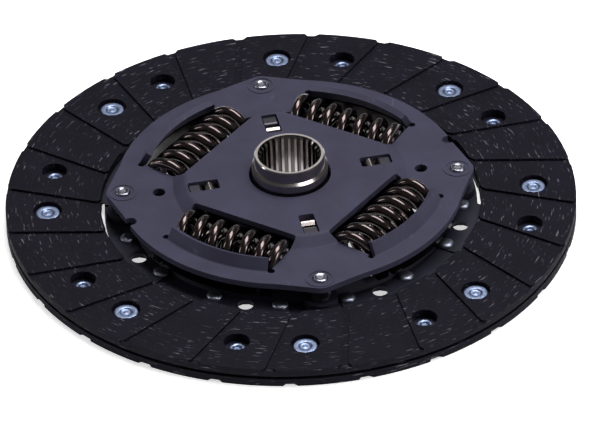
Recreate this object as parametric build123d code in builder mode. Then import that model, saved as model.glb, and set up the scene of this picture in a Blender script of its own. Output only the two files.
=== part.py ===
from build123d import *
import os
from math import asin, cos, degrees, pi, radians, sin

# Clutch disc for a 228 mm single dry-plate clutch, in millimetres.
# The disc's axis is Z. Z = 0 is the flywheel-side friction face, and +Z points to the gearbox.
# Angles are in degrees about Z, counted from +X.
#
# Two friction facings are riveted to eight waved cushion segments, and those to a drive plate.
# The drive plate and the cover plate are held apart by four stop pins. Between them, the splined
# hub's flange turns a few degrees against four coil springs that sit in windows of all three.

# ---------------------------------------------------------------- driving dimensions
# Friction facings
facing_diameter = 228.0
facing_bore = 152.0
facing_thickness = 3.3
facing_gap = 1.3  # free gap that the cushion segments hold open
groove_count = 24
groove_width = 2.9
groove_depth = 1.05
groove_miss = 23.4  # each straight groove misses the disc's axis by this much
front_groove_angle = -17.3  # direction of the first groove
rear_groove_angle = 10.7
pad_corner_cut = 1.5

# Rivets and their holes come by the dozen, so both are drawn with flat sides.
rivet_sides = 12

# Facing rivets: those headed on the front are set from the front, the others from the rear
facing_rivet_count = 8  # on each side
facing_rivet_radius = 97.2
front_rivet_angle = 2.3
rear_rivet_angle = 31.5
rivet_head_diameter = 9.6
rivet_head_height = 1.15
rivet_shank_diameter = 4.4
rivet_hollow_diameter = 3.0
rivet_tail_diameter = 6.4
rivet_tail_height = 0.9
rivet_seat_diameter = 11.4
rivet_web = 1.0  # facing material left under a head
tail_hole_diameter = 10.2  # clear hole in the other facing, over the tail

# Cushion segments
segment_count = 8
segment_angle = 29.2  # middle of the first segment
segment_sheet = 0.7
segment_root_half_angle = 13.9
segment_neck_half_angle = 12.5
segment_wing_half_angle = 21.6
segment_root_inner = 65.9
segment_bend_run = 1.4  # radial length of the bend down to the facings' middle
segment_outer = 112.0
segment_corner_cut = 2.0
segment_hole_diameter = 6.0
segment_hole_radius = 69.7

# Rivets between segments and drive plate
segment_rivet_radius = 68.5
segment_rivet_spread = 11.25  # half the angle between a segment's two rivets
segment_rivet_shank = 4.8
segment_rivet_head = 6.4
segment_rivet_dome = 1.5

# Drive plate and cover plate
plate_sheet = 2.5
drive_plate_diameter = 149.0
drive_plate_bore = 36.0
drive_plate_step = 3.15  # how far the centre stands above the riveted rim
drive_step_start = 61.9
drive_step_end = 64.9
segment_hole_relief = 9.0  # hole in the rim under each segment's hole
cover_diameter = 138.6
cover_bore = 32.8
cover_rise = 3.6  # raised centre of the cover plate
cover_rise_inner = 41.6
cover_rise_outer = 46.4
bend_radius = 2.6
damper_angle = 11.2  # the damper is symmetrical about this direction and across it

# Windows for the springs
window_half_angle = 47.6  # from the damper's direction to each window's middle
window_length = 47.0
cover_window_inner = 35.2
drive_window_inner = 34.8
flange_window_inner = 34.2
window_outer = 61.6
window_corner_radius = 1.2
flange_corner_radius = 0.6
lip_half_angle = 21.7
lip_radius = 59.3
lip_height = 4.2
lip_bend_radius = 2.2
relief_diameter = 2.8
relief_radius = 61.0
relief_half_angle = 23.2

# Cover plate details
slot_radius = 35.1
slot_length = 12.5
slot_width = 6.3
slot_corner_radius = 0.9
pilot_hole_radius = 52.6
pilot_hole_diameter = 5.1
pilot_hole_angle = -5.3  # from the damper's direction
index_notch_angle = 9.8
index_notch_radius = 2.4
index_notch_depth = 3.0
ear_radius = 6.5
ear_half_angle = 15.0
pin_ring_inner = 9.2
pin_ring_outer = 11.6
pin_ring_height = 0.3

# Stop pins
pin_radius = 67.0
pin_angle_near = -7.2  # pins by the damper's direction
pin_angle_across = -2.15  # pins by the direction across it
pin_body_diameter = 9.0
pin_shank_diameter = 6.2
pin_head_height = 0.9
pin_tail_diameter = 8.2
pin_tail_height = 1.2
pin_boss_diameter = 13.6  # boss pressed up from the drive plate's rim
pin_boss_hollow = 9.2

# Hub
spline_teeth = 28
spline_tip_diameter = 22.8
spline_root_diameter = 25.2
spline_chamfer = 1.3
hub_diameter = 30.6
hub_neck_diameter = 28.2
hub_neck_length = 4.9
hub_neck_bevel = 0.8
hub_above_cover = 9.6
hub_below_plate = 3.45
flange_thickness = 4.6
flange_diameter = 135.4
flange_window_outer = 60.6
flange_notch_inner = 62.2
flange_rim_half_angle = 24.0  # rim left outside each window
rim_slit_angle = 19.0
rim_slit_width = 2.2
rim_slit_depth = 3.4
cover_gap = 0.4  # between flange and cover plate

# Friction rings and the washers that press them
friction_thickness = 1.2
rear_ring_outer = 56.0
front_ring_inner = 36.0
front_ring_outer = 60.0
washer_sheet = 1.0
washer_inner = 35.0
washer_outer = 68.0
lug_width = 5.4
lug_outer = 40.8
lug_drop = 0.9  # lugs end this far below the cover plate's top
cone_sheet = 0.8
cone_inner = 39.0
cone_outer = 60.0
finger_outer = 34.3

# Damper springs
spring_distance = 45.0  # from the disc's axis to a spring's axis
spring_diameter = 20.8
spring_wire = 4.1
spring_turns = 7
inner_spring_diameter = 11.8
inner_spring_wire = 2.3
inner_spring_turns = 9
coil_sides = 10  # straight lengths in each turn
wire_sides = 6

# Clearances
running_clearance = 0.06
spring_end_clearance = 0.15
hole_clearance = 0.04
washer_clearance = 0.05

# ---------------------------------------------------------------- levels and angles
gap_bottom = facing_thickness
gap_top = facing_thickness + facing_gap
front_face = gap_top + facing_thickness
middle = front_face / 2
rim_top = middle + segment_sheet / 2
rim_bottom = rim_top - plate_sheet
segment_root_top = rim_top + segment_sheet
drive_top = rim_top + drive_plate_step
drive_bottom = drive_top - plate_sheet
flange_bottom = drive_top + friction_thickness
flange_top = flange_bottom + flange_thickness
spring_level = (flange_bottom + flange_top) / 2
cover_bottom = flange_top + cover_gap
cover_top = cover_bottom + plate_sheet
centre_top = cover_top + cover_rise
centre_bottom = centre_top - plate_sheet
hub_top = centre_top + hub_above_cover
hub_bottom = drive_bottom - hub_below_plate
neck_bottom = hub_top - hub_neck_length
washer_bottom = flange_top + friction_thickness
washer_top = washer_bottom + washer_sheet

segment_pitch = 360 / segment_count
window_angles = [damper_angle + turn + side * window_half_angle for turn in (0, 180) for side in (1, -1)]
slot_angles = [damper_angle + 90 * k for k in range(4)]
pin_angles = [
    slot_angles[k] + (pin_angle_across if k % 2 else pin_angle_near) for k in range(4)
]
above_all = hub_top + 1
cut_depth = above_all + 1


# ---------------------------------------------------------------- helpers
def polar(radius, angle):
    """A point of the XY plane from its distance to the axis and its direction."""
    return (radius * cos(radians(angle)), radius * sin(radians(angle)))


def turned_plane(height, angle):
    """A level plane whose X direction points outwards at the given angle."""
    return Plane(origin=(0, 0, height), x_dir=(*polar(1, angle), 0), z_dir=(0, 0, 1))


def radial_plane(angle):
    """The upright plane through the axis and the given direction: X is the radius, Y is the height."""
    return Plane(origin=(0, 0, 0), x_dir=(*polar(1, angle), 0), z_dir=(*polar(1, angle - 90), 0))


def sector(inner, outer, half_angle, mode=Mode.ADD):
    """A piece of a ring about the sketch's X direction."""
    with BuildLine() as edge:
        outside = CenterArc((0, 0), outer, -half_angle, 2 * half_angle)
        inside = CenterArc((0, 0), inner, -half_angle, 2 * half_angle)
        Line(outside @ 0, inside @ 0)
        Line(outside @ 1, inside @ 1)
    make_face(edge.edges(), mode=mode)


def rivet_hole(radius):
    """A hole whose flat sides just clear the given radius."""
    RegularPolygon(radius, rivet_sides, major_radius=False)


def window_outline(inner, outer, corner_radius):
    """A spring window about the sketch's X direction: straight inside and at the ends, round outside."""
    with Locations(((inner + outer) / 2, 0)):
        frame = Rectangle(outer - inner, window_length)
    fillet(frame.vertices().group_by(Axis.X)[0], corner_radius)
    Circle(outer, mode=Mode.INTERSECT)


def finish(piece, name):
    """Names a finished piece and writes it."""
    piece.label = name
    export_step(piece, f"parts/{name}.step")


os.makedirs("parts", exist_ok=True)


# ---------------------------------------------------------------- friction facings
def facing(on_front):
    """A facing with its grooved pads, the seats of its own rivets and clear holes for the other side's."""
    back = gap_top if on_front else gap_bottom
    outward = 1 if on_front else -1
    first_groove = front_groove_angle if on_front else rear_groove_angle
    miss = groove_miss if on_front else -groove_miss
    seat_angle = front_rivet_angle if on_front else rear_rivet_angle
    clear_angle = rear_rivet_angle if on_front else front_rivet_angle
    body = facing_thickness - groove_depth
    groove_middle = (facing_bore + facing_diameter) / 4

    with BuildPart() as ring:
        with BuildSketch(Plane.XY.offset(back)):
            Circle(facing_diameter / 2)
            Circle(facing_bore / 2, mode=Mode.SUBTRACT)
        extrude(amount=outward * body)

        with BuildSketch(Plane.XY.offset(back + outward * body)) as pads:
            Circle(facing_diameter / 2)
            Circle(facing_bore / 2, mode=Mode.SUBTRACT)
            with PolarLocations(0, groove_count, start_angle=first_groove):
                with Locations((groove_middle, miss)):
                    Rectangle(facing_diameter / 2, groove_width, mode=Mode.SUBTRACT)
            chamfer(pads.vertices(), pad_corner_cut)
        extrude(amount=outward * groove_depth)

        with BuildSketch(Plane.XY.offset(back + outward * rivet_web)):
            with PolarLocations(facing_rivet_radius, facing_rivet_count, start_angle=seat_angle):
                rivet_hole(rivet_seat_diameter / 2)
        extrude(amount=outward * facing_thickness, mode=Mode.SUBTRACT)
        with BuildSketch(Plane.XY.offset(back)):
            with PolarLocations(facing_rivet_radius, facing_rivet_count, start_angle=seat_angle):
                rivet_hole(rivet_shank_diameter / 2 + hole_clearance)
            with PolarLocations(facing_rivet_radius, facing_rivet_count, start_angle=clear_angle):
                rivet_hole(tail_hole_diameter / 2)
        extrude(amount=outward * facing_thickness, mode=Mode.SUBTRACT)
    return ring.part


finish(facing(on_front=True), "facing_front")
finish(facing(on_front=False), "facing_rear")

# ---------------------------------------------------------------- cushion segments
# A segment is drawn about +X. Its folds lift it to the front facing at the front rivet and drop it
# to the rear facing at the rear rivet, so half a wave lies between the two.
front_rivet_side = facing_rivet_radius * sin(radians(front_rivet_angle + segment_pitch - segment_angle))
rear_rivet_side = facing_rivet_radius * sin(radians(rear_rivet_angle - segment_angle))
half_wave = front_rivet_side - rear_rivet_side
wave_height = (facing_gap - segment_sheet) / 2 - hole_clearance / 2
bend_start = drive_plate_diameter / 2 + washer_clearance
bend_end = bend_start + segment_bend_run
wing_inner = facing_bore / 2 + segment_bend_run

with BuildPart() as segment:
    with BuildSketch(Plane.YZ.offset(wing_inner - segment_bend_run)):
        with BuildLine():
            Polyline(
                *(
                    (front_rivet_side + step * half_wave, middle + wave_height * (1 - 2 * (step % 2)))
                    for step in range(-3, 3)
                )
            )
        trace(line_width=segment_sheet)
    extrude(amount=segment_outer)
    with BuildSketch(Plane.XY.offset(gap_bottom - segment_sheet)) as wings:
        sector(wing_inner, segment_outer, segment_wing_half_angle)
        chamfer(wings.vertices(), segment_corner_cut)
    extrude(amount=facing_gap + 2 * segment_sheet, mode=Mode.INTERSECT)

    with BuildSketch(Plane.XY.offset(rim_top)):
        sector(segment_root_inner, bend_start, segment_root_half_angle)
    extrude(amount=segment_sheet)
    with BuildSketch(radial_plane(-segment_neck_half_angle)):
        with BuildLine():
            Polyline(
                (bend_start - segment_sheet, rim_top + segment_sheet / 2),
                (bend_start, rim_top + segment_sheet / 2),
                (bend_end, middle),
                (wing_inner + segment_sheet, middle),
            )
        trace(line_width=segment_sheet)
    revolve(axis=Axis.Z, revolution_arc=2 * segment_neck_half_angle)

    with BuildSketch(Plane.XY):
        with Locations((segment_hole_radius, 0)):
            rivet_hole(segment_hole_diameter / 2)
        with Locations(
            polar(segment_rivet_radius, segment_rivet_spread), polar(segment_rivet_radius, -segment_rivet_spread)
        ):
            rivet_hole(segment_rivet_shank / 2 + hole_clearance)
        with Locations(
            polar(facing_rivet_radius, front_rivet_angle + segment_pitch - segment_angle),
            polar(facing_rivet_radius, rear_rivet_angle - segment_angle),
        ):
            rivet_hole(rivet_shank_diameter / 2 + hole_clearance)
    extrude(amount=front_face, mode=Mode.SUBTRACT)

for number in range(segment_count):
    finish(
        segment.part.rotate(Axis.Z, segment_angle + number * segment_pitch),
        f"cushion_segment_{number + 1}",
    )


# ---------------------------------------------------------------- facing rivets
def facing_rivets(on_front):
    """Hollow rivets: head sunk in the facing's seat, tail rolled over on the segment's far side."""
    outward = 1 if on_front else -1
    segment_back = (gap_top if on_front else gap_bottom) - outward * (segment_sheet + 2 * hole_clearance)
    seat = (gap_top if on_front else gap_bottom) + outward * rivet_web
    head_top = seat + outward * rivet_head_height
    tail_end = segment_back - outward * rivet_tail_height
    first = front_rivet_angle if on_front else rear_rivet_angle
    with BuildPart() as rivets:
        for number in range(facing_rivet_count):
            angle = first + 360 / facing_rivet_count * number
            centre = polar(facing_rivet_radius, angle)
            with BuildSketch(Plane(origin=(*centre, seat))):
                RegularPolygon(rivet_head_diameter / 2, rivet_sides)
            extrude(amount=outward * rivet_head_height)
            with BuildSketch(Plane(origin=(*centre, tail_end))):
                RegularPolygon(rivet_shank_diameter / 2, rivet_sides)
            extrude(amount=head_top - tail_end)
            with BuildSketch(Plane(origin=(*centre, tail_end))):
                RegularPolygon(rivet_tail_diameter / 2, rivet_sides)
            extrude(amount=segment_back - tail_end)
            with BuildSketch(Plane(origin=(*centre, head_top))):
                RegularPolygon(rivet_hollow_diameter / 2, rivet_sides)
            extrude(amount=segment_back - head_top, mode=Mode.SUBTRACT)
    return rivets.part


finish(facing_rivets(on_front=True), "facing_rivets_front")
finish(facing_rivets(on_front=False), "facing_rivets_rear")

# ---------------------------------------------------------------- segment rivets
with BuildPart() as segment_rivets:
    for number in range(2 * segment_count):
        side = segment_rivet_spread * (1 if number % 2 else -1)
        centre = polar(segment_rivet_radius, segment_angle + (number // 2) * segment_pitch + side)
        with BuildSketch(Plane(origin=(*centre, rim_bottom))):
            RegularPolygon(segment_rivet_shank / 2, rivet_sides)
        extrude(amount=segment_root_top - rim_bottom)
        for level, outward in ((segment_root_top, 1), (rim_bottom, -1)):
            with BuildSketch(Plane(origin=(*centre, level))):
                RegularPolygon(segment_rivet_head / 2, rivet_sides)
            extrude(amount=outward * (segment_rivet_dome if outward > 0 else segment_rivet_dome * 0.7))
    chamfer(segment_rivets.faces().group_by(Axis.Z)[-1].edges(), segment_rivet_dome / 2)
finish(segment_rivets.part, "segment_rivets")


# ---------------------------------------------------------------- drive plate and cover plate
def lip_section(level, outward, angle):
    """Section of the strip bent out of a window's outer edge, over the spring's flank."""
    with BuildSketch(radial_plane(angle - lip_half_angle)) as section:
        with BuildLine():
            FilletPolyline(
                (window_outer + plate_sheet / 2, level),
                (window_outer - plate_sheet / 4, level),
                (lip_radius - plate_sheet / 2, level + outward * (lip_height + plate_sheet / 2)),
                radius=lip_bend_radius,
            )
        trace(line_width=plate_sheet)
    return section.sketch


with BuildPart() as drive_plate:
    with BuildSketch(Plane.XZ):
        with BuildLine():
            Polyline(
                (drive_plate_bore / 2, drive_top - plate_sheet / 2),
                (drive_step_start, drive_top - plate_sheet / 2),
                (drive_step_end, rim_top - plate_sheet / 2),
                (drive_plate_diameter / 2, rim_top - plate_sheet / 2),
            )
        trace(line_width=plate_sheet)
    revolve(axis=Axis.Z)
    with BuildSketch(Plane.XY.offset(rim_bottom)):
        with Locations(*(polar(pin_radius, angle) for angle in pin_angles)):
            Circle(pin_boss_diameter / 2)
    extrude(amount=drive_top - rim_bottom)
    with BuildSketch(Plane.XY.offset(rim_bottom)):
        with Locations(*(polar(pin_radius, angle) for angle in pin_angles)):
            Circle(pin_boss_hollow / 2)
    extrude(amount=drive_bottom - rim_bottom, mode=Mode.SUBTRACT)
    for angle in window_angles:
        with BuildSketch(turned_plane(0, angle)):
            window_outline(drive_window_inner, window_outer, window_corner_radius)
        extrude(amount=cut_depth, mode=Mode.SUBTRACT)
        lip = lip_section(drive_top - plate_sheet / 2, -1, angle)
        revolve(lip, axis=Axis.Z, revolution_arc=2 * lip_half_angle)
    with BuildSketch(Plane.XY):
        with Locations(*(polar(pin_radius, angle) for angle in pin_angles)):
            Circle(pin_shank_diameter / 2 + hole_clearance)
        with Locations(
            *(
                polar(relief_radius, angle + side * relief_half_angle)
                for angle in window_angles
                for side in (1, -1)
            )
        ):
            Circle(relief_diameter / 2)
        with PolarLocations(segment_hole_radius, segment_count, start_angle=segment_angle):
            rivet_hole(segment_hole_relief / 2)
        for side in (1, -1):
            with PolarLocations(
                segment_rivet_radius, segment_count, start_angle=segment_angle + side * segment_rivet_spread
            ):
                rivet_hole(segment_rivet_shank / 2 + hole_clearance)
    extrude(amount=cut_depth, mode=Mode.SUBTRACT)
finish(drive_plate.part, "drive_plate")

with BuildPart() as cover_plate:
    with BuildSketch(Plane.XZ):
        with BuildLine():
            FilletPolyline(
                (cover_bore / 2, centre_top - plate_sheet / 2),
                (cover_rise_inner, centre_top - plate_sheet / 2),
                (cover_rise_outer, cover_top - plate_sheet / 2),
                (pin_radius + 2 * ear_radius, cover_top - plate_sheet / 2),
                radius=bend_radius,
            )
        trace(line_width=plate_sheet)
    revolve(axis=Axis.Z)
    with BuildSketch(Plane.XY) as outline:
        for angle in pin_angles:
            with Locations(polar(pin_radius, angle)):
                Circle(ear_radius)
            with Locations(
                polar(cover_diameter / 2 - 1, angle - ear_half_angle),
                polar(cover_diameter / 2 - 1, angle + ear_half_angle),
            ):
                Circle(1)
            make_hull()
        Circle(cover_diameter / 2)
    extrude(amount=cut_depth, mode=Mode.INTERSECT)
    for angle in window_angles:
        with BuildSketch(turned_plane(0, angle)):
            window_outline(cover_window_inner, window_outer, window_corner_radius)
        extrude(amount=cut_depth, mode=Mode.SUBTRACT)
        lip = lip_section(cover_top - plate_sheet / 2, 1, angle)
        revolve(lip, axis=Axis.Z, revolution_arc=2 * lip_half_angle)
    with BuildSketch(Plane.XY.offset(cover_top)):
        for angle in pin_angles:
            with Locations(polar(pin_radius, angle)):
                Circle(pin_ring_outer / 2)
                Circle(pin_ring_inner / 2, mode=Mode.SUBTRACT)
    extrude(amount=pin_ring_height)
    with BuildSketch(Plane.XY):
        with Locations(*(polar(pin_radius, angle) for angle in pin_angles)):
            Circle(pin_shank_diameter / 2 + hole_clearance)
        with Locations(
            *(
                polar(relief_radius, angle + side * relief_half_angle)
                for angle in window_angles
                for side in (1, -1)
            )
        ):
            Circle(relief_diameter / 2)
        with PolarLocations(pilot_hole_radius, 2, start_angle=damper_angle + pilot_hole_angle):
            Circle(pilot_hole_diameter / 2)
        with PolarLocations(cover_diameter / 2, 2, start_angle=damper_angle + index_notch_angle):
            SlotOverall(2 * index_notch_depth + 1, 2 * index_notch_radius)
    extrude(amount=cut_depth, mode=Mode.SUBTRACT)
    with BuildSketch(Plane.XY) as slots:
        with PolarLocations(slot_radius, len(slot_angles), start_angle=damper_angle):
            RectangleRounded(slot_length, slot_width, slot_corner_radius)
    extrude(amount=cut_depth, mode=Mode.SUBTRACT)
finish(cover_plate.part, "cover_plate")

# ---------------------------------------------------------------- stop pins
with BuildPart() as stop_pins:
    for angle in pin_angles:
        centre = polar(pin_radius, angle)
        with BuildSketch(Plane(origin=(*centre, drive_top))):
            Circle(pin_body_diameter / 2)
        extrude(amount=cover_bottom - drive_top)
        with BuildSketch(Plane(origin=(*centre, drive_bottom - pin_tail_height))):
            Circle(pin_shank_diameter / 2)
        extrude(amount=cover_top + pin_head_height - drive_bottom + pin_tail_height)
        with BuildSketch(Plane(origin=(*centre, drive_bottom))):
            Circle(pin_tail_diameter / 2)
        extrude(amount=-pin_tail_height)
    chamfer(stop_pins.faces().group_by(Axis.Z)[-1].edges(), pin_head_height / 2)
finish(stop_pins.part, "stop_pins")

# ---------------------------------------------------------------- splined hub
tooth_pitch = 360 / spline_teeth
spline_tip = spline_tip_diameter / 2
spline_root = spline_root_diameter / 2

with BuildSketch() as tooth:
    with BuildLine():
        Polyline(
            polar(spline_root + 1, -tooth_pitch * 0.27),
            polar(spline_tip, -tooth_pitch * 0.19),
            polar(spline_tip, tooth_pitch * 0.19),
            polar(spline_root + 1, tooth_pitch * 0.27),
            close=True,
        )
    make_face()

with BuildPart() as hub:
    with BuildSketch(Plane.XZ):
        with BuildLine():
            Polyline(
                (spline_tip - 1, hub_bottom),
                (hub_diameter / 2 - hub_neck_bevel, hub_bottom),
                (hub_diameter / 2, hub_bottom + hub_neck_bevel),
                (hub_diameter / 2, neck_bottom - hub_neck_bevel),
                (hub_neck_diameter / 2, neck_bottom),
                (hub_neck_diameter / 2, hub_top - hub_neck_bevel / 2),
                (hub_neck_diameter / 2 - hub_neck_bevel / 2, hub_top),
                (spline_tip - 1, hub_top),
                close=True,
            )
        make_face()
    revolve(axis=Axis.Z)

    with BuildSketch(Plane.XY.offset(flange_bottom)):
        Circle(flange_diameter / 2)
        Circle(hub_neck_diameter / 2, mode=Mode.SUBTRACT)
    extrude(amount=flange_thickness)
    for number, angle in enumerate(slot_angles):
        to_window = 90 - window_half_angle if number % 2 else window_half_angle
        with BuildSketch(turned_plane(flange_bottom, angle)):
            sector(flange_notch_inner, flange_diameter, to_window - flange_rim_half_angle)
        extrude(amount=flange_thickness, mode=Mode.SUBTRACT)
    for angle in window_angles:
        with BuildSketch(turned_plane(flange_bottom, angle)):
            window_outline(flange_window_inner, flange_window_outer, flange_corner_radius)
            with PolarLocations(flange_diameter / 2, 2, start_angle=-rim_slit_angle, angular_range=4 * rim_slit_angle):
                Rectangle(2 * rim_slit_depth, rim_slit_width)
        extrude(amount=flange_thickness, mode=Mode.SUBTRACT)

    with BuildSketch(Plane.XY.offset(hub_bottom)):
        Circle(spline_root)
        with PolarLocations(0, spline_teeth):
            add(tooth.sketch, mode=Mode.SUBTRACT)
    extrude(amount=hub_top - hub_bottom, mode=Mode.SUBTRACT)
    for level, inward in ((hub_top, -1), (hub_bottom, 1)):
        with BuildSketch(Plane.XZ):
            with BuildLine():
                Polyline(
                    (0, level),
                    (spline_tip + spline_chamfer, level),
                    (spline_tip, level + inward * spline_chamfer),
                    (0, level + inward * spline_chamfer),
                    close=True,
                )
            make_face()
        revolve(axis=Axis.Z, mode=Mode.SUBTRACT)
finish(hub.part, "splined_hub")

# ---------------------------------------------------------------- friction rings and washers
with BuildPart() as friction_bush_rear:
    with BuildSketch(Plane.XY.offset(drive_top)):
        Circle(rear_ring_outer / 2)
    extrude(amount=friction_thickness - washer_clearance)
    with BuildSketch(Plane.XY.offset(drive_bottom)):
        Circle(drive_plate_bore / 2 - hole_clearance)
    extrude(amount=plate_sheet)
    with BuildSketch(Plane.XY.offset(drive_bottom)):
        Circle(hub_diameter / 2 + running_clearance)
    extrude(amount=plate_sheet + friction_thickness, mode=Mode.SUBTRACT)
finish(friction_bush_rear.part, "friction_bush_rear")

with BuildPart() as friction_ring_front:
    with BuildSketch(Plane.XY.offset(flange_top + washer_clearance)):
        Circle(front_ring_outer / 2)
        Circle(front_ring_inner / 2, mode=Mode.SUBTRACT)
    extrude(amount=friction_thickness - washer_clearance)
finish(friction_ring_front.part, "friction_ring_front")

lug_top = centre_top - lug_drop
with BuildPart() as support_washer:
    with BuildSketch(Plane.XY.offset(washer_bottom)):
        Circle(washer_outer / 2)
        Circle(washer_inner / 2, mode=Mode.SUBTRACT)
    extrude(amount=washer_sheet)
    for angle in slot_angles:
        with BuildSketch(radial_plane(angle)):
            with BuildLine():
                FilletPolyline(
                    (washer_outer / 2 - 2 * washer_sheet, washer_bottom + washer_sheet / 2),
                    (washer_outer / 2 + washer_sheet, washer_bottom + washer_sheet / 2),
                    (washer_outer / 2 + 2.5 * washer_sheet, lug_top - washer_sheet / 2),
                    (lug_outer, lug_top - washer_sheet / 2),
                    radius=washer_sheet * 0.8,
                )
            trace(line_width=washer_sheet)
        extrude(amount=lug_width / 2, both=True)
finish(support_washer.part, "support_washer")

cone_low = washer_top + cone_sheet * 0.55
cone_high = centre_bottom - cone_sheet * 0.6
finger_top = centre_top - cone_sheet
with BuildPart() as diaphragm_spring:
    with BuildSketch(Plane.XZ):
        with BuildLine():
            Line((cone_inner / 2, cone_high), (cone_outer / 2, cone_low))
        trace(line_width=cone_sheet)
    revolve(axis=Axis.Z)
    for angle in slot_angles:
        with BuildSketch(radial_plane(angle)):
            with BuildLine():
                FilletPolyline(
                    (cone_outer / 2 - cone_sheet, cone_low + 0.1),
                    (cone_outer / 2 + 0.3, cone_low),
                    (cone_outer / 2 + 1.6, finger_top - 0.4),
                    ((cone_outer / 2 + finger_outer) / 2 + 0.7, finger_top),
                    (finger_outer, finger_top - 1.0),
                    radius=0.6,
                )
            trace(line_width=cone_sheet)
        extrude(amount=lug_width / 2, both=True)
finish(diaphragm_spring.part, "diaphragm_spring")


# ---------------------------------------------------------------- damper springs
def coil_spring(diameter, wire, turns, hand):
    """A coil spring along Z in straight lengths, its two ends ground flat. Hand is 1 for right."""
    length = window_length - 2 * spring_end_clearance
    rise = length / turns / coil_sides
    coil_radius = (diameter - wire) / 2
    steps = turns * coil_sides + 2 * round(wire / rise)
    with BuildPart() as spring:
        with BuildLine() as path:
            Polyline(
                *(
                    (*polar(coil_radius, hand * 360 / coil_sides * step), (step - steps / 2) * rise)
                    for step in range(steps + 1)
                )
            )
        with BuildSketch(Plane(origin=path.line @ 0, z_dir=path.line % 0)):
            RegularPolygon(wire / 2, wire_sides)
        sweep(path=path.line, transition=Transition.RIGHT)
        split(bisect_by=Plane.XY.offset(length / 2), keep=Keep.BOTTOM)
        split(bisect_by=Plane.XY.offset(-length / 2), keep=Keep.TOP)
    return spring.part


def in_window(angle):
    """The place of a spring: across its window, at the flange's middle level."""
    return Plane(
        origin=(*polar(spring_distance, angle), spring_level),
        x_dir=(0, 0, 1),
        z_dir=(*polar(1, angle + 90), 0),
    ).location


outer_spring = coil_spring(spring_diameter, spring_wire, spring_turns, hand=1)
inner_spring = coil_spring(inner_spring_diameter, inner_spring_wire, inner_spring_turns, hand=-1)
for number, angle in enumerate(window_angles):
    finish(in_window(angle) * outer_spring, f"spring_outer_{number + 1}")
# Only the first pair of windows, straight across from each other, holds inner springs.
for number, angle in enumerate(window_angles[::2]):
    finish(in_window(angle) * inner_spring, f"spring_inner_{number + 1}")
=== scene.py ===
import math

import bmesh
import bpy
from bpy.props import FloatProperty, FloatVectorProperty, PointerProperty
from mathutils import Matrix, Vector


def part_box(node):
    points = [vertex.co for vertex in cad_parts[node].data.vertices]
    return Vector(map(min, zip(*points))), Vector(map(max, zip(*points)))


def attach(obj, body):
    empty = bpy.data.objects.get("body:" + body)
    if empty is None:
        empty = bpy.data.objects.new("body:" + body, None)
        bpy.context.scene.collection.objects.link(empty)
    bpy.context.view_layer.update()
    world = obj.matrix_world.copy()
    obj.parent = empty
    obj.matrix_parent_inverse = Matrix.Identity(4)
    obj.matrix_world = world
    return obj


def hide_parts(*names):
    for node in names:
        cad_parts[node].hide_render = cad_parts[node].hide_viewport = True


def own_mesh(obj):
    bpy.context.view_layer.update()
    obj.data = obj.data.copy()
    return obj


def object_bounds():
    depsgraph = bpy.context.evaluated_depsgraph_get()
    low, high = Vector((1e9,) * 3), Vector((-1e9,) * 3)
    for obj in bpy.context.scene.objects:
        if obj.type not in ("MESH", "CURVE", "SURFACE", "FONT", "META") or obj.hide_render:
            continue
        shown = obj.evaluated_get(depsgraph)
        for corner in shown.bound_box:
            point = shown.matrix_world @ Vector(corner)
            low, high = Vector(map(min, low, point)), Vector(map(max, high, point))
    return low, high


bl_info = {
    "name": "Clutch Disc",
    "version": (1, 0, 0),
    "blender": (4, 5, 0),
    "location": "View3D > Sidebar > Clutch Disc",
    "description": "Dresses a clutch disc's frame with rounded edges, wound springs, rivets and finishes",
    "category": "Object",
}

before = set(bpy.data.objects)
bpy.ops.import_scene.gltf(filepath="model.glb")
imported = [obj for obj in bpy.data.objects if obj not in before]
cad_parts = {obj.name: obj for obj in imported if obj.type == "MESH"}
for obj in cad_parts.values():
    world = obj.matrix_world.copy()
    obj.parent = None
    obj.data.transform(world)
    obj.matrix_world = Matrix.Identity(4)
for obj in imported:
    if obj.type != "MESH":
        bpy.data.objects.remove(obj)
cad_low, cad_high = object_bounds()
MM = 0.001


def srgb(hex_colour):
    """Linear colour, with alpha, from an sRGB hex value such as 474658."""
    channels = [int(hex_colour[k : k + 2], 16) / 255 for k in (0, 2, 4)]
    linear = [c / 12.92 if c <= 0.04045 else ((c + 0.055) / 1.055) ** 2.4 for c in channels]
    return (*linear, 1.0)


def polar(radius, degrees_round, height=0.0):
    """The point at this radius and angle about the disc's axis."""
    angle = math.radians(degrees_round)
    return Vector((radius * math.cos(angle), radius * math.sin(angle), height))


# ---------------------------------------------------------------- places read from the frame
def level(node, top=True):
    """The height of a node's top or bottom."""
    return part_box(node)[1 if top else 0][2]


def direction(node):
    """The direction in which a node's middle lies from the disc's axis, in degrees."""
    low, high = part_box(node)
    return math.degrees(math.atan2(low[1] + high[1], low[0] + high[0]))


DISC_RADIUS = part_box("facing_front")[1][0]
FRONT_FACE = level("facing_front")
SPRING_LEVEL = (level("spring_outer_1") + level("spring_outer_1", top=False)) / 2
WINDOW_ANGLES = [direction(f"spring_outer_{number}") for number in range(1, 5)]


# ---------------------------------------------------------------- sizes and colours a user would change
def length_property(name, description, default_mm):
    return FloatProperty(
        name=name, description=description, default=default_mm * MM, unit="LENGTH", subtype="DISTANCE"
    )


def angle_property(name, description, default_degrees):
    return FloatProperty(
        name=name, description=description, default=math.radians(default_degrees), subtype="ANGLE"
    )


def number_property(name, description, default):
    return FloatProperty(name=name, description=description, default=default)


def power_property(name, description, default):
    return FloatProperty(name=name, description=description, default=default, unit="POWER")


def colour_property(name, description, hex_colour):
    return FloatVectorProperty(
        name=name, description=description, default=srgb(hex_colour), subtype="COLOR", size=4, min=0, max=1
    )


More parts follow.
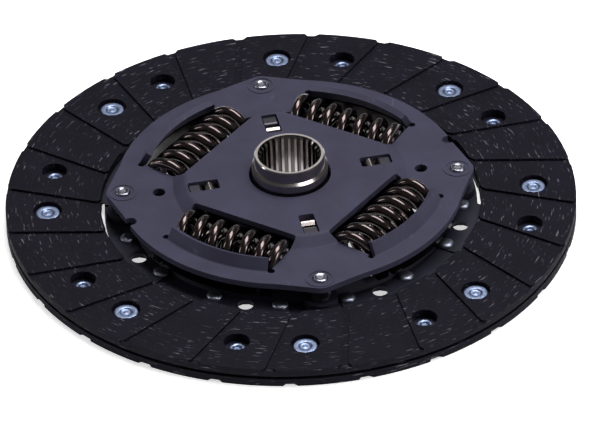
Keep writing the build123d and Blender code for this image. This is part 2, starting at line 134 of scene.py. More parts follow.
class ClutchDiscSprings(bpy.types.PropertyGroup):
    outer_diameter: length_property("Outer spring diameter", "Outside diameter of the outer springs", 20.8)
    outer_wire: length_property("Outer wire", "Wire diameter of the outer springs", 4.1)
    outer_turns: number_property("Outer turns", "Turns between the closed ends", 6.0)
    inner_diameter: length_property("Inner spring diameter", "Outside diameter of the inner springs", 11.6)
    inner_wire: length_property("Inner wire", "Wire diameter of the inner springs", 2.3)
    inner_turns: number_property("Inner turns", "Turns between the closed ends", 8.0)
    length: length_property("Length", "Length of every spring at rest", 46.7)
    distance: length_property("Distance", "From the disc's axis to a spring's axis", 45.0)
    start_angle: angle_property("Start", "Where the wire's end lies round the spring", 180)


class ClutchDiscEdges(bpy.types.PropertyGroup):
    sheet_round: length_property("Sheet edge", "Rounding of the plates' stamped edges", 0.3)
    strip_round: length_property("Strip edge", "Rounding of the segments' and the washer's edges", 0.12)
    finger_round: length_property("Finger edge", "Rounding of the diaphragm spring's edges", 0.1)
    ring_round: length_property("Ring edge", "Rounding of the friction rings' edges", 0.15)
    lining_round: length_property("Lining edge", "Rounding of the friction lining's edges", 0.28)
    machined_round: length_property("Machined edge", "Rounding of the hub's edges", 0.16)
    pin_round: length_property("Pin edge", "Rounding of the stop pins' heads", 0.35)


class ClutchDiscColours(bpy.types.PropertyGroup):
    lining: colour_property("Lining", "Wound friction lining", "14131D")
    lining_fleck: colour_property("Lining yarn", "Cut yarn in the lining", "8C8590")
    plate: colour_property("Plate", "Phosphated cover plate", "403F53")
    plate_dark: colour_property("Plate shade", "Darker patches of its phosphate", "393749")
    scuff: colour_property("Scuff", "Rubbed marks on phosphated sheet", "8E8DA0")
    # The drive plate's tone is the cover's phosphate darkened as painted shade, for the shade it lies in
    # under the cover.
    drive: colour_property("Drive plate", "The drive plate's thinner phosphate", "2B2A38")
    blued: colour_property("Blued steel", "Hardened cushion segments", "20202B")
    zinc: colour_property("Zinc", "Plated facing rivets", "97A6C8")
    dull_zinc: colour_property("Dull zinc", "Plated segment rivets", "A6AABB")
    bright: colour_property("Bright steel", "Staked pins", "92939F")
    tongue: colour_property("Spring steel", "The diaphragm spring and its tongues", "B5ABA8")
    turned: colour_property("Turned steel", "The hub's machined surfaces", "A39D9C")
    wire: colour_property("Tempered wire", "Oil-tempered wire of the outer springs", "4B4243")
    # The inner wire is the outer wire's tone darkened as painted shade, for the dark inside the outer
    # springs.
    inner_wire: colour_property("Inner wire", "Wire of the inner springs", "2E2828")
    washer: colour_property("Washer", "The support washer and its lugs", "4A484F")
    polymer: colour_property("Friction ring", "Moulded friction rings", "3B2F28")


class ClutchDiscStage(bpy.types.PropertyGroup):
    distance: length_property("Camera distance", "From the camera to the disc's middle", 3080.28)
    elevation: angle_property("Elevation", "Height of the camera as an angle", 36.21)
    roll: angle_property("Roll", "Turn of the picture", 1.79)
    focal: number_property("Focal length", "Lens for a 36 mm sensor, in millimetres", 471.0)
    overhead: power_property("Overhead light", "Power of the softbox above the disc", 19.0)
    left: power_property("Left light", "Power of the softbox on the left", 2.5)
    right: power_property("Right light", "Power of the softbox on the right", 5.0)
    back: power_property("Back card", "Power of the card that flat tops mirror", 1.3)
    ceiling: number_property("Ceiling", "Strength of the room's ceiling", 0.1)
    floor: colour_property("Floor", "Plain pale floor", "F4F4F4")
    glow: number_property("Floor glow", "How white the floor stays in the shadow", 0.6)


# ---------------------------------------------------------------- material helpers
def add_node(tree, kind, links=None, **settings):
    """Adds a node. Settings name its properties or, with a leading input_, its sockets."""
    node = tree.nodes.new(kind)
    for key, value in settings.items():
        if not key.startswith("input_"):
            setattr(node, key, value)
    for key, value in settings.items():
        if key.startswith("input_"):
            node.inputs[key[6:].replace("_", " ")].default_value = value
    for socket, source in (links or {}).items():
        tree.links.new(source, node.inputs[socket])
    return node


def material_of(name, **surface):
    """An empty material, its shader and its coordinates.

    Values that are the same all over stand on the shader's sockets.
    """
    material = bpy.data.materials.new(name)
    material.use_nodes = True
    tree = material.node_tree
    tree.nodes.clear()
    shader = add_node(tree, "ShaderNodeBsdfPrincipled")
    for socket, value in surface.items():
        shader.inputs[socket.replace("_", " ")].default_value = value
    add_node(tree, "ShaderNodeOutputMaterial", {"Surface": shader.outputs[0]})
    place = add_node(tree, "ShaderNodeTexCoord").outputs["Object"]
    return material, tree, shader, place


def noise(tree, place, *, size_mm, detail):
    """Noise with marks of about this size. Object coordinates are in metres."""
    settings = {"input_Scale": 1.0 / (size_mm * MM), "input_Detail": detail}
    return add_node(tree, "ShaderNodeTexNoise", {"Vector": place}, **settings).outputs["Fac"]


def mapped(tree, value, *, of=(0.0, 1.0), to=(0.0, 1.0)):
    """Maps a value from one range to another, and holds it there."""
    node = add_node(
        tree, "ShaderNodeMapRange", {"Value": value}, input_From_Min=of[0], input_From_Max=of[1],
        input_To_Min=to[0], input_To_Max=to[1],
    )
    return node.outputs[0]


def connect(tree, socket, value):
    """Sets a socket, either to a constant or to another node's output."""
    if isinstance(value, bpy.types.NodeSocket):
        tree.links.new(value, socket)
    else:
        socket.default_value = value


def combined(tree, operation, first, second):
    """One step of arithmetic on two values."""
    node = add_node(tree, "ShaderNodeMath", operation=operation)
    connect(tree, node.inputs[0], first)
    connect(tree, node.inputs[1], second)
    return node.outputs[0]


def blend(tree, share, first, second, blend_type="MIX"):
    """Mixes two colours. The node has three sets of sockets, and 6 and 7 are the colours."""
    node = add_node(tree, "ShaderNodeMix", data_type="RGBA", blend_type=blend_type)
    for socket, value in ((0, share), (6, first), (7, second)):
        connect(tree, node.inputs[socket], value)
    return node.outputs[2]


def bump(tree, shader, height, *, strength, depth_mm):
    """Gives the shader a fine relief."""
    node = add_node(
        tree, "ShaderNodeBump", {"Height": height}, input_Strength=strength, input_Distance=depth_mm * MM
    )
    connect(tree, shader.inputs["Normal"], node.outputs[0])


def times(colour, factor):
    """The colour made lighter or darker. A factor for each channel also shifts its hue."""
    factors = factor if isinstance(factor, tuple) else (factor,) * 3
    return (*(min(c * f, 1.0) for c, f in zip(colour, factors)), 1.0)


def outward_distance(tree, apart):
    """How far a point lies from the disc's axis."""
    flat = add_node(tree, "ShaderNodeCombineXYZ", {"X": apart.outputs["X"], "Y": apart.outputs["Y"]})
    away = add_node(tree, "ShaderNodeVectorMath", {0: flat.outputs[0]}, operation="LENGTH")
    return away.outputs["Value"]


# ---------------------------------------------------------------- materials
# Distances from the hub's axis.
TEETH = (11.4 * MM, 12.5 * MM)  # from the splines' tips to their roots
BARREL_START = 12.7 * MM  # past the splines' roots
FLANGE_START = (19 * MM, 21 * MM)  # where the turned barrel gives way to the stamped flange
YARN_RADIUS = DISC_RADIUS * 0.83  # where the lining is unrolled at its true length
YARNS = (  # lean in radians, and the noise where a yarn starts and is fully seen
    (0.62, 0.64, 0.72),
    (-0.5, 0.69, 0.76),
)


def wound_lining(colours):
    # Scatter-wound friction lining: yarn of glass and brass laid to and fro in black resin, then
    # ground flat, so cut lengths of yarn show as pale hairs a few millimetres long that lie either
    # way across the round. Near black, matte, with pits between the yarns.
    material, tree, shader, place = material_of("wound_friction_lining", Specular_IOR_Level=0.1)
    apart = add_node(tree, "ShaderNodeSeparateXYZ", {"Vector": place})
    around = combined(tree, "ARCTAN2", apart.outputs["Y"], apart.outputs["X"])
    along = combined(tree, "MULTIPLY", around, YARN_RADIUS)
    outward = outward_distance(tree, apart)
    unrolled = add_node(tree, "ShaderNodeCombineXYZ", {"X": along, "Y": outward, "Z": apart.outputs["Z"]})
    hairs = []
    for lean, low, high in YARNS:
        laid = add_node(
            tree, "ShaderNodeMapping", {"Vector": unrolled.outputs[0]}, input_Rotation=(0, 0, lean),
            input_Scale=(0.15, 1.0, 1.0),
        )
        yarn = noise(tree, laid.outputs[0], size_mm=0.8, detail=2.0)
        hairs.append(mapped(tree, yarn, of=(low, high)))
    clouds = noise(tree, place, size_mm=12, detail=5.0)
    ground = blend(tree, clouds, times(colours.lining, 0.55), times(colours.lining, 1.5))
    both = combined(tree, "MAXIMUM", *hairs)
    patches = mapped(tree, clouds, of=(0.42, 0.62), to=(0.1, 0.8))
    share = combined(tree, "MULTIPLY", both, patches)
    flecked = blend(tree, share, ground, tuple(colours.lining_fleck))
    connect(tree, shader.inputs["Base Color"], flecked)
    pits = noise(tree, place, size_mm=0.9, detail=4.0)
    connect(tree, shader.inputs["Roughness"], mapped(tree, pits, to=(0.55, 0.85)))
    bump(tree, shader, combined(tree, "ADD", both, pits), strength=0.6, depth_mm=0.14)
    return material


def phosphated_steel(name, light, dark, scuff, roughness):
    # Manganese-phosphated steel sheet: a fine crystalline grey-blue coat, matte, a little darker
    # where the bath was uneven, with the odd pale scuff from the stacking bin.
    material, tree, shader, place = material_of(name, Metallic=0.1, Specular_IOR_Level=0.2)
    bath = noise(tree, place, size_mm=14, detail=5.0)
    base = blend(tree, mapped(tree, bath, of=(0.35, 0.65)), tuple(dark), tuple(light))
    crystals = noise(tree, place, size_mm=0.5, detail=3.0)
    grained = blend(tree, 1.0, base, mapped(tree, crystals, to=(0.86, 1.14)), "MULTIPLY")
    rubbed = add_node(
        tree, "ShaderNodeMapping", {"Vector": place}, input_Scale=(1.0, 0.3, 1.0), input_Rotation=(0, 0, 0.9)
    )
    marks = noise(tree, rubbed.outputs[0], size_mm=4, detail=7.0)
    worn = mapped(tree, marks, of=(0.68, 0.8), to=(0.0, 0.2))
    connect(tree, shader.inputs["Base Color"], blend(tree, worn, grained, tuple(scuff)))
    connect(tree, shader.inputs["Roughness"], mapped(tree, bath, to=(roughness - 0.06, roughness + 0.08)))
    bump(tree, shader, crystals, strength=0.18, depth_mm=0.05)
    return material


def zinc_plate(name, tone):
    # Bright zinc on cold-headed rivets: bluish white, satin, with faint cloudy passivation and
    # scuffs from the setting tool.
    material, tree, shader, place = material_of(name, Metallic=1.0)
    cloud = noise(tree, place, size_mm=2.5, detail=5.0)
    connect(tree, shader.inputs["Base Color"], blend(tree, cloud, times(tone, 0.6), tuple(tone)))
    scuff = noise(tree, place, size_mm=0.7, detail=3.0)
    connect(tree, shader.inputs["Roughness"], mapped(tree, scuff, to=(0.28, 0.5)))
    bump(tree, shader, scuff, strength=0.25, depth_mm=0.06)
    return material


def staked_steel(colours):
    # Staked pin heads: bare bright steel, hammered over, so the highlight breaks into facets.
    material, tree, shader, place = material_of("bright_staked_steel", Metallic=1.0, Roughness=0.24)
    facets = add_node(
        tree, "ShaderNodeTexVoronoi", {"Vector": place}, input_Scale=1.0 / (3.0 * MM), feature="SMOOTH_F1"
    ).outputs["Distance"]
    base = blend(tree, facets, tuple(colours.bright), times(colours.bright, 0.6))
    connect(tree, shader.inputs["Base Color"], base)
    bump(tree, shader, facets, strength=0.5, depth_mm=0.5)
    return material


def turned_steel(colours):
    # Turned and broached hub steel: warm grey, with fine lathe rings round the barrel and a light
    # film of rust-preventive oil that keeps it glossy. Painted shade darkens the broached grooves
    # towards their roots, and a painted highlight lightens the splines' tips. The stamped flange has
    # a dark finish, taken further to near black as painted shade between the plates.
    material, tree, shader, place = material_of("turned_broached_steel", Metallic=1.0)
    apart = add_node(tree, "ShaderNodeSeparateXYZ", {"Vector": place})
    rings = add_node(
        tree, "ShaderNodeTexNoise", {"W": apart.outputs["Z"]}, noise_dimensions="1D",
        input_Scale=1.0 / (0.35 * MM), input_Detail=2.0,
    ).outputs["Fac"]
    patch = noise(tree, place, size_mm=6, detail=4.0)
    base = blend(tree, patch, times(colours.turned, 0.72), times(colours.turned, 1.2))
    outward = outward_distance(tree, apart)
    # The flange past FLANGE_START: its dark finish, darkened to near black as painted shade between the
    # plates.
    scaled = mapped(tree, outward, of=FLANGE_START, to=(1.0, 0.06))
    # Painted shade in the grooves towards their roots, and a painted highlight on the splines' tips.
    painted_spline_light = mapped(tree, outward, of=TEETH, to=(1.3, 0.3))
    barrel = combined(tree, "GREATER_THAN", outward, BARREL_START)
    tone = combined(tree, "MULTIPLY", combined(tree, "MAXIMUM", painted_spline_light, barrel), scaled)
    connect(tree, shader.inputs["Base Color"], blend(tree, 1.0, base, tone, "MULTIPLY"))
    connect(tree, shader.inputs["Roughness"], mapped(tree, patch, to=(0.12, 0.24)))
    bump(tree, shader, combined(tree, "MULTIPLY", rings, barrel), strength=0.25, depth_mm=0.03)
    return material


def tempered_wire(name, tone):
    # Oil-tempered, shot-peened spring wire: dark brown oxide under a thin clear film of oil, finely
    # dimpled. It mirrors the dark of the window it lies in, and the lamp as a narrow pale glint
    # along each turn.
    material, tree, shader, place = material_of(name, Metallic=1.0, Coat_Weight=0.6, Coat_Roughness=0.1)
    oxide = noise(tree, place, size_mm=3, detail=5.0)
    base = blend(tree, oxide, times(tone, 0.7), times(tone, (1.25, 1.08, 1.0)))
    connect(tree, shader.inputs["Base Color"], base)
    dimples = noise(tree, place, size_mm=0.45, detail=2.0)
    connect(tree, shader.inputs["Roughness"], mapped(tree, dimples, to=(0.16, 0.26)))
    bump(tree, shader, dimples, strength=0.12, depth_mm=0.03)
    return material


def rolled_strip(name, tone, gloss):
    # Bare rolled strip: faint straight rolling lines and a satin to bright gloss.
    material, tree, shader, place = material_of(name, Metallic=1.0)
    rolled = add_node(tree, "ShaderNodeMapping", {"Vector": place}, input_Scale=(1.0, 0.06, 1.0))
    lines = noise(tree, rolled.outputs[0], size_mm=0.4, detail=2.0)
    connect(tree, shader.inputs["Base Color"], blend(tree, lines, times(tone, 0.86), tuple(tone)))
    connect(tree, shader.inputs["Roughness"], mapped(tree, lines, to=(gloss, gloss + 0.16)))
    return material


def friction_polymer(colours):
    # Glass-filled nylon friction rings: matte brown with fine pale fibres.
    material, tree, shader, place = material_of("glass_filled_nylon", Specular_IOR_Level=0.4)
    fibres = noise(tree, place, size_mm=0.6, detail=4.0)
    base = blend(tree, fibres, times(colours.polymer, 0.7), times(colours.polymer, 1.4))
    connect(tree, shader.inputs["Base Color"], base)
    connect(tree, shader.inputs["Roughness"], mapped(tree, fibres, to=(0.5, 0.7)))
    return material


# ---------------------------------------------------------------- pieces
FRAME_WELD = 0.002 * MM  # the frame's triangles come loose, and are joined within this
SPUN_WELD = 0.004 * MM  # the same for what is spun here, at its poles and seams
FLAT_ANGLE = math.radians(0.4)  # triangles that meet at less than this are one face
SHARP_ANGLE = math.radians(32)  # sheet edges that turn by more than this are rounded
SPUN_SHARP_ANGLE = math.radians(40)  # spun surfaces show an edge above this


def mesh_of(bm, name):
    """Turns a bmesh into a mesh, and frees it."""
    mesh = bpy.data.meshes.new(name)
    bm.to_mesh(mesh)
    bm.free()
    return mesh


def shape_of(node):
    """A CAD node's own shape, with its loose triangles joined."""
    bm = bmesh.new()
    bm.from_mesh(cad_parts[node].data)
    bmesh.ops.remove_doubles(bm, verts=bm.verts, dist=FRAME_WELD)
    return bm


def place_piece(name, mesh, material, body, node):
    """Links a finished mesh as a piece that rides on a body and stands for a CAD node."""
    piece = bpy.data.objects.new(name, mesh)
    bpy.context.scene.collection.objects.link(piece)
    mesh.materials.append(material)
    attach(piece, body)
    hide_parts(node)
    return piece


def smooth_spun(bm):
    """Shades a spun surface smooth, apart from its sharp edges."""
    for face in bm.faces:
        face.smooth = True
    for edge in bm.edges:
        edge.smooth = edge.is_boundary or edge.calc_face_angle(0.0) < SPUN_SHARP_ANGLE


def rounded_copy(node, name, material, body, width, segments=2):
    """The node's own shape with its sharp edges rounded."""
    bm = shape_of(node)
    bmesh.ops.dissolve_limit(bm, angle_limit=FLAT_ANGLE, verts=bm.verts, edges=bm.edges)
    for face in bm.faces:
        face.smooth = True
    piece = place_piece(name, mesh_of(bm, name), material, body, node)
    bevel = piece.modifiers.new("rounded edges", "BEVEL")
    bevel.limit_method = "ANGLE"
    bevel.angle_limit = SHARP_ANGLE
    bevel.width = width
    bevel.segments = segments
    weighted = piece.modifiers.new("flat faces shade flat", "WEIGHTED_NORMAL")
    weighted.mode = "FACE_AREA"
    weighted.weight = 100
    return piece


def lathed_mesh(name, profile, centres, steps):
    """One mesh with a profile of (radius, height) points spun about an upright axis at each centre."""
    bm = bmesh.new()
    for centre in centres:
        corners = [bm.verts.new(centre + Vector((radius, 0, height))) for radius, height in profile]
        edges = [bm.edges.new(pair) for pair in zip(corners, corners[1:])]
        bmesh.ops.spin(
            bm, geom=corners + edges, cent=centre, axis=(0, 0, 1), angle=math.tau, steps=steps,
            use_merge=True,
        )
    bmesh.ops.remove_doubles(bm, verts=bm.verts, dist=SPUN_WELD)
    bmesh.ops.recalc_face_normals(bm, faces=bm.faces)
    smooth_spun(bm)
    return mesh_of(bm, name)


def solid_centres(node):
    """The plan centre of each separate solid in a CAD node."""
    bm = shape_of(node)
    centres = []
    unseen = set(bm.verts)
    while unseen:
        heap = [unseen.pop()]
        island = list(heap)
        while heap:
            for edge in heap.pop().link_edges:
                for vertex in edge.verts:
                    if vertex in unseen:
                        unseen.remove(vertex)
                        heap.append(vertex)
                        island.append(vertex)
        low = [min(v.co[k] for v in island) for k in (0, 1)]
        high = [max(v.co[k] for v in island) for k in (0, 1)]
        centres.append(Vector(((low[0] + high[0]) / 2, (low[1] + high[1]) / 2, 0)))
    bm.free()
    return centres


CLOSED_TURNS = 0.5  # turns of each end that lie close
CLOSED_PITCH = 0.29  # their rise a turn, as a share of the wire
ENDS_INSIDE = 0.71  # how much shorter the wire's middle line is than the spring, in wires
WIRE_STEPS = 20
TURN_STEPS = 48


def wound_spring(name, diameter, wire, span, turns, hand, start):
    """A coil spring along Z: closed at both ends, open between, and ground flat."""
    bm = bmesh.new()
    coil_radius = (diameter - wire) / 2
    closed_pitch = wire * CLOSED_PITCH
    reach = span - wire * ENDS_INSIDE
    pitch = (reach - 2 * CLOSED_TURNS * closed_pitch) / turns
    ring = bmesh.ops.create_circle(bm, segments=WIRE_STEPS, radius=wire / 2)["verts"]
    stand = Matrix.Translation((coil_radius, 0, -reach / 2)) @ Matrix.Rotation(math.pi / 2, 4, "X")
    bmesh.ops.transform(bm, verts=ring, matrix=Matrix.Rotation(start, 4, "Z") @ stand)
    last = list({edge for vertex in ring for edge in vertex.link_edges}) + ring
    for share, rise in ((CLOSED_TURNS, closed_pitch), (turns, pitch), (CLOSED_TURNS, closed_pitch)):
        steps = max(2, round(share * TURN_STEPS))
        made = bmesh.ops.spin(
            bm, geom=last, cent=(0, 0, 0), axis=(0, 0, hand), angle=math.tau * share, steps=steps,
            dvec=(0, 0, share * rise / steps),
        )
        last = made["geom_last"]
    bmesh.ops.remove_doubles(bm, verts=bm.verts, dist=SPUN_WELD)
    bmesh.ops.holes_fill(bm, edges=bm.edges)
    for side in (1, -1):
        cut = bmesh.ops.bisect_plane(
            bm, geom=list(bm.verts) + list(bm.edges) + list(bm.faces), plane_co=(0, 0, side * span / 2),
            plane_no=(0, 0, side), clear_outer=True,
        )
        rim = [part for part in cut["geom_cut"] if isinstance(part, bmesh.types.BMEdge)]
        bmesh.ops.edgeloop_fill(bm, edges=rim)
    bmesh.ops.recalc_face_normals(bm, faces=bm.faces)
    smooth_spun(bm)
    return mesh_of(bm, name)


def across_window(angle, distance):
    """Turns a spring that lies along Z so that it lies across its window."""
    out = polar(1, angle)
    along = polar(1, angle + 90)
    up = Vector((0, 0, 1))
    turn = Matrix((up, out, along)).transposed().to_4x4()
    return Matrix.Translation(out * distance + up * SPRING_LEVEL) @ turn


# Rivet profiles in millimetres: the radius, and the distance in from that end of the rivet.
# Facing rivets are hollow at the tail, and dished in the head.
FACING_RIVET_TAIL = (
    (0, 0.9), (1.2, 0.85), (1.55, 0.35), (2.0, 0.05), (2.7, 0), (3.15, 0.3), (3.2, 0.7), (2.9, 0.9),
    (2.2, 0.9),
)
FACING_RIVET_HEAD = (
    (2.2, 1.15), (4.6, 1.15), (4.8, 0.95), (4.8, 0.3), (4.65, 0.08), (4.4, 0), (2.75, 0), (2.5, 0.1),
    (2.3, 0.4), (1.9, 0.55), (1.3, 0.6), (0.8, 0.45), (0, 0.35),
)
# Segment rivets have a button head.
SEGMENT_RIVET_TAIL = ((0, 0), (1.6, 0), (2.5, 0.1), (3.1, 0.5), (3.2, 1.05), (2.4, 1.05))
SEGMENT_RIVET_HEAD = (
    (2.4, 1.5), (3.2, 1.5), (3.2, 1.1), (3.05, 0.65), (2.7, 0.32), (2.2, 0.12), (1.4, 0.03), (0, 0),
)


def place_rivets(name, node, material, tail, head, outward, steps):
    """Spins a rivet at each of the node's solids. Outward is 1 where the heads face up, or -1."""
    low, high = (z / MM for z in (level(node, top=False), level(node)))
    head_end, tail_end = (high, low) if outward > 0 else (low, high)
    profile = [(radius, tail_end + outward * depth) for radius, depth in tail]
    profile += [(radius, head_end - outward * depth) for radius, depth in head]
    scaled = [(radius * MM, height * MM) for radius, height in profile]
    mesh = lathed_mesh(name, scaled, solid_centres(node), steps)
    place_piece(name, mesh, material, "plates", node)


# A staked head's dent in millimetres: each row goes in by the first value and down by the second.
DENT = ((0.45, 0), (0.55, 0.22), (0.55, 0.13))


def dent_heads(pins, top):
    """Presses the staking punch's dent into each face at the pins' top."""
    bm = bmesh.new()
    bm.from_mesh(pins.data)
    heads = [
        face for face in bm.faces
        if face.normal.z > 0.99 and face.calc_center_median().z > top - 0.01 * MM
    ]
    for inset, drop in DENT:
        bmesh.ops.inset_individual(bm, faces=heads, thickness=inset * MM)
        for face in heads:
            for vertex in face.verts:
                vertex.co.z -= drop * MM
    bm.to_mesh(pins.data)
    bm.free()


# ---------------------------------------------------------------- operators
class ClutchDiscOperator:
    bl_options = {"REGISTER", "UNDO"}

    @property
    def colours(self):
        return bpy.context.scene.clutch_disc_colours

    @property
    def edges(self):
        return bpy.context.scene.clutch_disc_edges


class CLUTCH_OT_facings(ClutchDiscOperator, bpy.types.Operator):
    """Friction facings: wound lining with rounded pads"""

    bl_idname = "clutch.facings"
    bl_label = "Friction Facings"

    def execute(self, context):
        lining = wound_lining(self.colours)
        for node in ("facing_front", "facing_rear"):
            rounded_copy(node, "lining_" + node, lining, "plates", self.edges.lining_round)
        return {"FINISHED"}


class CLUTCH_OT_segments(ClutchDiscOperator, bpy.types.Operator):
    """Cushion segments: thin blued spring steel between the facings"""

    bl_idname = "clutch.segments"
    bl_label = "Cushion Segments"

    def execute(self, context):
        colours = self.colours
        # The segments' lighter tone is the drive plate's, darkened as painted shade.
        blued = phosphated_steel("blued_spring_steel", colours.drive, colours.blued, colours.scuff, 0.45)
        for number in range(1, 9):
            node, name = f"cushion_segment_{number}", f"segment_{number}"
            rounded_copy(node, name, blued, "plates", self.edges.strip_round, segments=1)
        return {"FINISHED"}


class CLUTCH_OT_plates(ClutchDiscOperator, bpy.types.Operator):
    """Drive plate and cover plate: stamped and phosphated sheet"""

    bl_idname = "clutch.plates"
    bl_label = "Plates"

    def execute(self, context):
        colours = self.colours
        # The drive plate's colours are darker than the cover's as painted shade.
        for node, light, dark in (
            ("cover_plate", colours.plate, colours.plate_dark),
            ("drive_plate", colours.drive, colours.blued),
        ):
            coat = phosphated_steel("phosphated_" + node, light, dark, colours.scuff, 0.6)
            rounded_copy(node, "sheet_" + node, coat, "plates", self.edges.sheet_round)
        return {"FINISHED"}


class CLUTCH_OT_rivets(ClutchDiscOperator, bpy.types.Operator):
    """Facing rivets and segment rivets"""

    bl_idname = "clutch.rivets"
    bl_label = "Rivets"

    def execute(self, context):
        zinc = zinc_plate("bright_zinc_plate", self.colours.zinc)
        dull = zinc_plate("dull_zinc_plate", self.colours.dull_zinc)
        for node, outward in (("facing_rivets_front", 1), ("facing_rivets_rear", -1)):
            place_rivets("hollow_" + node, node, zinc, FACING_RIVET_TAIL, FACING_RIVET_HEAD, outward, 40)
        place_rivets(
            "domed_segment_rivets", "segment_rivets", dull, SEGMENT_RIVET_TAIL, SEGMENT_RIVET_HEAD, 1, 32
        )
        return {"FINISHED"}


class CLUTCH_OT_stop_pins(ClutchDiscOperator, bpy.types.Operator):
    """Stop pins with staked heads"""

    bl_idname = "clutch.stop_pins"
    bl_label = "Stop Pins"

    def execute(self, context):
        steel = staked_steel(self.colours)
        pins = rounded_copy(
            "stop_pins", "staked_stop_pins", steel, "plates", self.edges.pin_round, segments=3
        )
        dent_heads(pins, level("stop_pins"))
        return {"FINISHED"}


class CLUTCH_OT_hub(ClutchDiscOperator, bpy.types.Operator):
    """Splined hub: turned, broached and chamfered"""

    bl_idname = "clutch.hub"
    bl_label = "Splined Hub"

    def execute(self, context):
        steel = turned_steel(self.colours)
        rounded_copy(
            "splined_hub", "turned_splined_hub", steel, "hub", self.edges.machined_round
        )
        return {"FINISHED"}


class CLUTCH_OT_washers(ClutchDiscOperator, bpy.types.Operator):
    """Friction rings, support washer and diaphragm spring"""

    bl_idname = "clutch.washers"
    bl_label = "Friction Washers"

    def execute(self, context):
        colours, edges = self.colours, self.edges
        ring = friction_polymer(colours)
        for node in ("friction_bush_rear", "friction_ring_front"):
            rounded_copy(node, "moulded_" + node, ring, "plates", edges.ring_round)
        satin = rolled_strip("satin_rolled_strip", colours.washer, 0.3)
        bright = rolled_strip("bright_rolled_strip", colours.tongue, 0.16)
        rounded_copy(
            "support_washer", "lugged_support_washer", satin, "plates", edges.strip_round
        )
        rounded_copy(
            "diaphragm_spring", "fingered_diaphragm_spring", bright, "plates",
            edges.finger_round,
        )
        return {"FINISHED"}


class CLUTCH_OT_springs(ClutchDiscOperator, bpy.types.Operator):
    """Damper springs, wound and ground"""

    bl_idname = "clutch.springs"
    bl_label = "Damper Springs"

    def execute(self, context):
        sizes = context.scene.clutch_disc_springs
        tempered = tempered_wire("oil_tempered_wire", self.colours.wire)
        # The inner springs' wire is a darker copy of the same wire: painted shade inside the outer springs.
        shaded_inner_wire = tempered_wire("blackened_inner_wire", self.colours.inner_wire)
        # The inner springs stand in every other window, and are wound the other way.
        outer = (sizes.outer_diameter, sizes.outer_wire, sizes.length, sizes.outer_turns, 1)
        inner = (sizes.inner_diameter, sizes.inner_wire, sizes.length, sizes.inner_turns, -1)
        for kind, angles, coil, wire in (
            ("outer", WINDOW_ANGLES, outer, tempered),
            ("inner", WINDOW_ANGLES[::2], inner, shaded_inner_wire),
        ):
            for number, angle in enumerate(angles, start=1):
                name = f"wound_{kind}_spring_{number}"
                mesh = wound_spring(name, *coil, sizes.start_angle)
                mesh.transform(across_window(angle, sizes.distance))
                node = f"spring_{kind}_{number}"
                piece = place_piece(name, mesh, wire, "springs", node)
                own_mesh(piece)
        return {"FINISHED"}


# ---------------------------------------------------------------- stage
FLOOR_HALF_WIDTH = 30.0  # metres
FLOOR_GAP = 0.05 * MM  # the floor lies this far under the disc
WALLS_END, CEILING_START = 0.03, 0.12  # as the height of a direction, where 1 is straight up
LAMPS = (  # name and power, place, and width and height, in metres
    ("overhead_softbox", "overhead", (0.25, 0.25, 1.3), (1.2, 0.6)),
    ("left_softbox", "left", (-1.3, 0.1, 0.5), (0.12, 0.7)),
    ("right_softbox", "right", (1.2, -0.5, 0.5), (0.25, 0.6)),
    ("back_card", "back", (0.0, 1.62, 1.18), (0.8, 0.45)),
)
SENSOR = 36.0  # millimetres
CLIP_END = 20  # metres
PICTURE_WIDTH = 589  # pixels
AIM_RIGHT, AIM_DOWN = 3.52, 16.1  # pixels from the disc's middle to the picture's middle


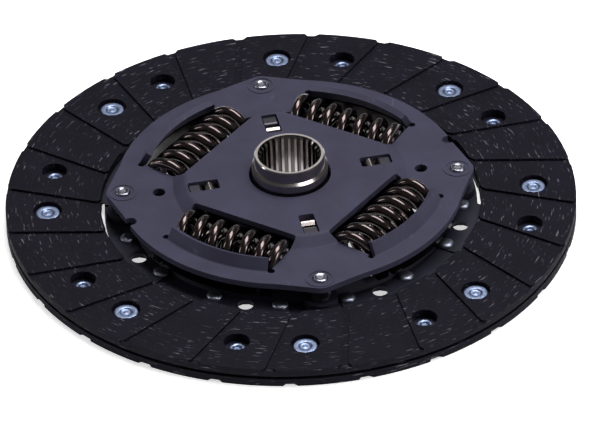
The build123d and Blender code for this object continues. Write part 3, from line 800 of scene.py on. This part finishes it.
class CLUTCH_OT_stage(ClutchDiscOperator, bpy.types.Operator):
    """Floor, lamps and camera"""

    bl_idname = "clutch.stage"
    bl_label = "Stage"

    def execute(self, context):
        stage = context.scene.clutch_disc_stage
        context.scene.view_settings.view_transform = "Standard"
        self.floor(context, stage)
        self.room(context, stage)
        self.lamps(context, stage)
        self.camera(context, stage)
        return {"FINISHED"}

    def floor(self, context, stage):
        bm = bmesh.new()
        bmesh.ops.create_grid(bm, x_segments=1, y_segments=1, size=FLOOR_HALF_WIDTH)
        mesh = mesh_of(bm, "floor")
        floor = bpy.data.objects.new("floor", mesh)
        floor.location.z = cad_low[2] - FLOOR_GAP
        context.scene.collection.objects.link(floor)
        # Matte white board on a light box: it glows to the eye and in reflections, so that it shows
        # white through every hole, and it darkens a little in the disc's own shadow.
        material, tree, shader, _ = material_of("matte_white_paint", Roughness=0.9, Specular_IOR_Level=0.1)
        shader.inputs["Base Color"].default_value = stage.floor
        shader.inputs["Emission Color"].default_value = (1, 1, 1, 1)
        paths = add_node(tree, "ShaderNodeLightPath").outputs
        direct = combined(tree, "MAXIMUM", paths["Is Camera Ray"], paths["Is Glossy Ray"])
        seen = combined(tree, "MAXIMUM", direct, paths["Is Transmission Ray"])
        connect(tree, shader.inputs["Emission Strength"], combined(tree, "MULTIPLY", seen, stage.glow))
        mesh.materials.append(material)

    def room(self, context, stage):
        # White walls low down all round, under a dim ceiling, so that metal shows light against dark.
        world = bpy.data.worlds.new("studio")
        world.use_nodes = True
        tree = world.node_tree
        tree.nodes.clear()
        around = add_node(tree, "ShaderNodeTexCoord").outputs["Generated"]
        height = add_node(tree, "ShaderNodeSeparateXYZ", {"Vector": around}).outputs["Z"]
        strength = mapped(tree, height, of=(WALLS_END, CEILING_START), to=(1.0, stage.ceiling))
        background = add_node(tree, "ShaderNodeBackground", {"Strength": strength}, input_Color=(1, 1, 1, 1))
        add_node(tree, "ShaderNodeOutputWorld", {"Surface": background.outputs[0]})
        context.scene.world = world

    def lamps(self, context, stage):
        for name, power, place, size in LAMPS:
            lamp = bpy.data.lights.new(name, "AREA")
            lamp.shape = "RECTANGLE"
            lamp.size, lamp.size_y = size
            lamp.energy = getattr(stage, power)
            holder = bpy.data.objects.new(name, lamp)
            holder.location = place
            holder.rotation_euler = (-Vector(place)).to_track_quat("-Z", "Y").to_euler()
            context.scene.collection.objects.link(holder)

    def camera(self, context, stage):
        lens = bpy.data.cameras.new("camera")
        lens.sensor_width = SENSOR
        lens.lens = stage.focal
        lens.clip_end = CLIP_END
        camera = bpy.data.objects.new("camera", lens)
        context.scene.collection.objects.link(camera)
        level_right = Vector((1, 0, 0))
        level_up = Vector((0, math.sin(stage.elevation), math.cos(stage.elevation)))
        backward = Vector((0, -math.cos(stage.elevation), math.sin(stage.elevation)))
        right = level_right * math.cos(stage.roll) - level_up * math.sin(stage.roll)
        up = level_right * math.sin(stage.roll) + level_up * math.cos(stage.roll)
        per_pixel = stage.distance * SENSOR / stage.focal / PICTURE_WIDTH
        middle = Vector((0, 0, FRONT_FACE / 2))
        aim = middle + right * AIM_RIGHT * per_pixel - up * AIM_DOWN * per_pixel
        axes = Matrix((right, up, backward)).transposed().to_4x4()
        camera.matrix_world = Matrix.Translation(aim + backward * stage.distance) @ axes
        context.scene.camera = camera


class CLUTCH_PT_panel(bpy.types.Panel):
    """Lists the clutch disc's pieces and their sizes"""

    bl_label = "Clutch Disc"
    bl_idname = "CLUTCH_PT_panel"
    bl_space_type = "VIEW_3D"
    bl_region_type = "UI"
    bl_category = "Clutch Disc"

    def draw(self, context):
        layout = self.layout
        for operator in OPERATORS:
            layout.operator(operator.bl_idname)
        for group in PROPERTIES:
            box = layout.box()
            values = getattr(context.scene, group)
            for name in values.__annotations__:
                box.prop(values, name)


OPERATORS = (
    CLUTCH_OT_stage,
    CLUTCH_OT_facings,
    CLUTCH_OT_segments,
    CLUTCH_OT_plates,
    CLUTCH_OT_rivets,
    CLUTCH_OT_stop_pins,
    CLUTCH_OT_hub,
    CLUTCH_OT_washers,
    CLUTCH_OT_springs,
)
PROPERTIES = {
    "clutch_disc_springs": ClutchDiscSprings,
    "clutch_disc_edges": ClutchDiscEdges,
    "clutch_disc_colours": ClutchDiscColours,
    "clutch_disc_stage": ClutchDiscStage,
}


def register():
    for name, group in PROPERTIES.items():
        bpy.utils.register_class(group)
        setattr(bpy.types.Scene, name, PointerProperty(type=group))
    for operator in OPERATORS:
        bpy.utils.register_class(operator)
    bpy.utils.register_class(CLUTCH_PT_panel)


def unregister():
    bpy.utils.unregister_class(CLUTCH_PT_panel)
    for operator in reversed(OPERATORS):
        bpy.utils.unregister_class(operator)
    for name, group in PROPERTIES.items():
        delattr(bpy.types.Scene, name)
        bpy.utils.unregister_class(group)


def main():
    register()
    bpy.ops.clutch.stage()
    bpy.ops.clutch.facings()
    bpy.ops.clutch.segments()
    bpy.ops.clutch.plates()
    bpy.ops.clutch.rivets()
    bpy.ops.clutch.stop_pins()
    bpy.ops.clutch.hub()
    bpy.ops.clutch.washers()
    bpy.ops.clutch.springs()


if __name__ == "__main__":
    main()
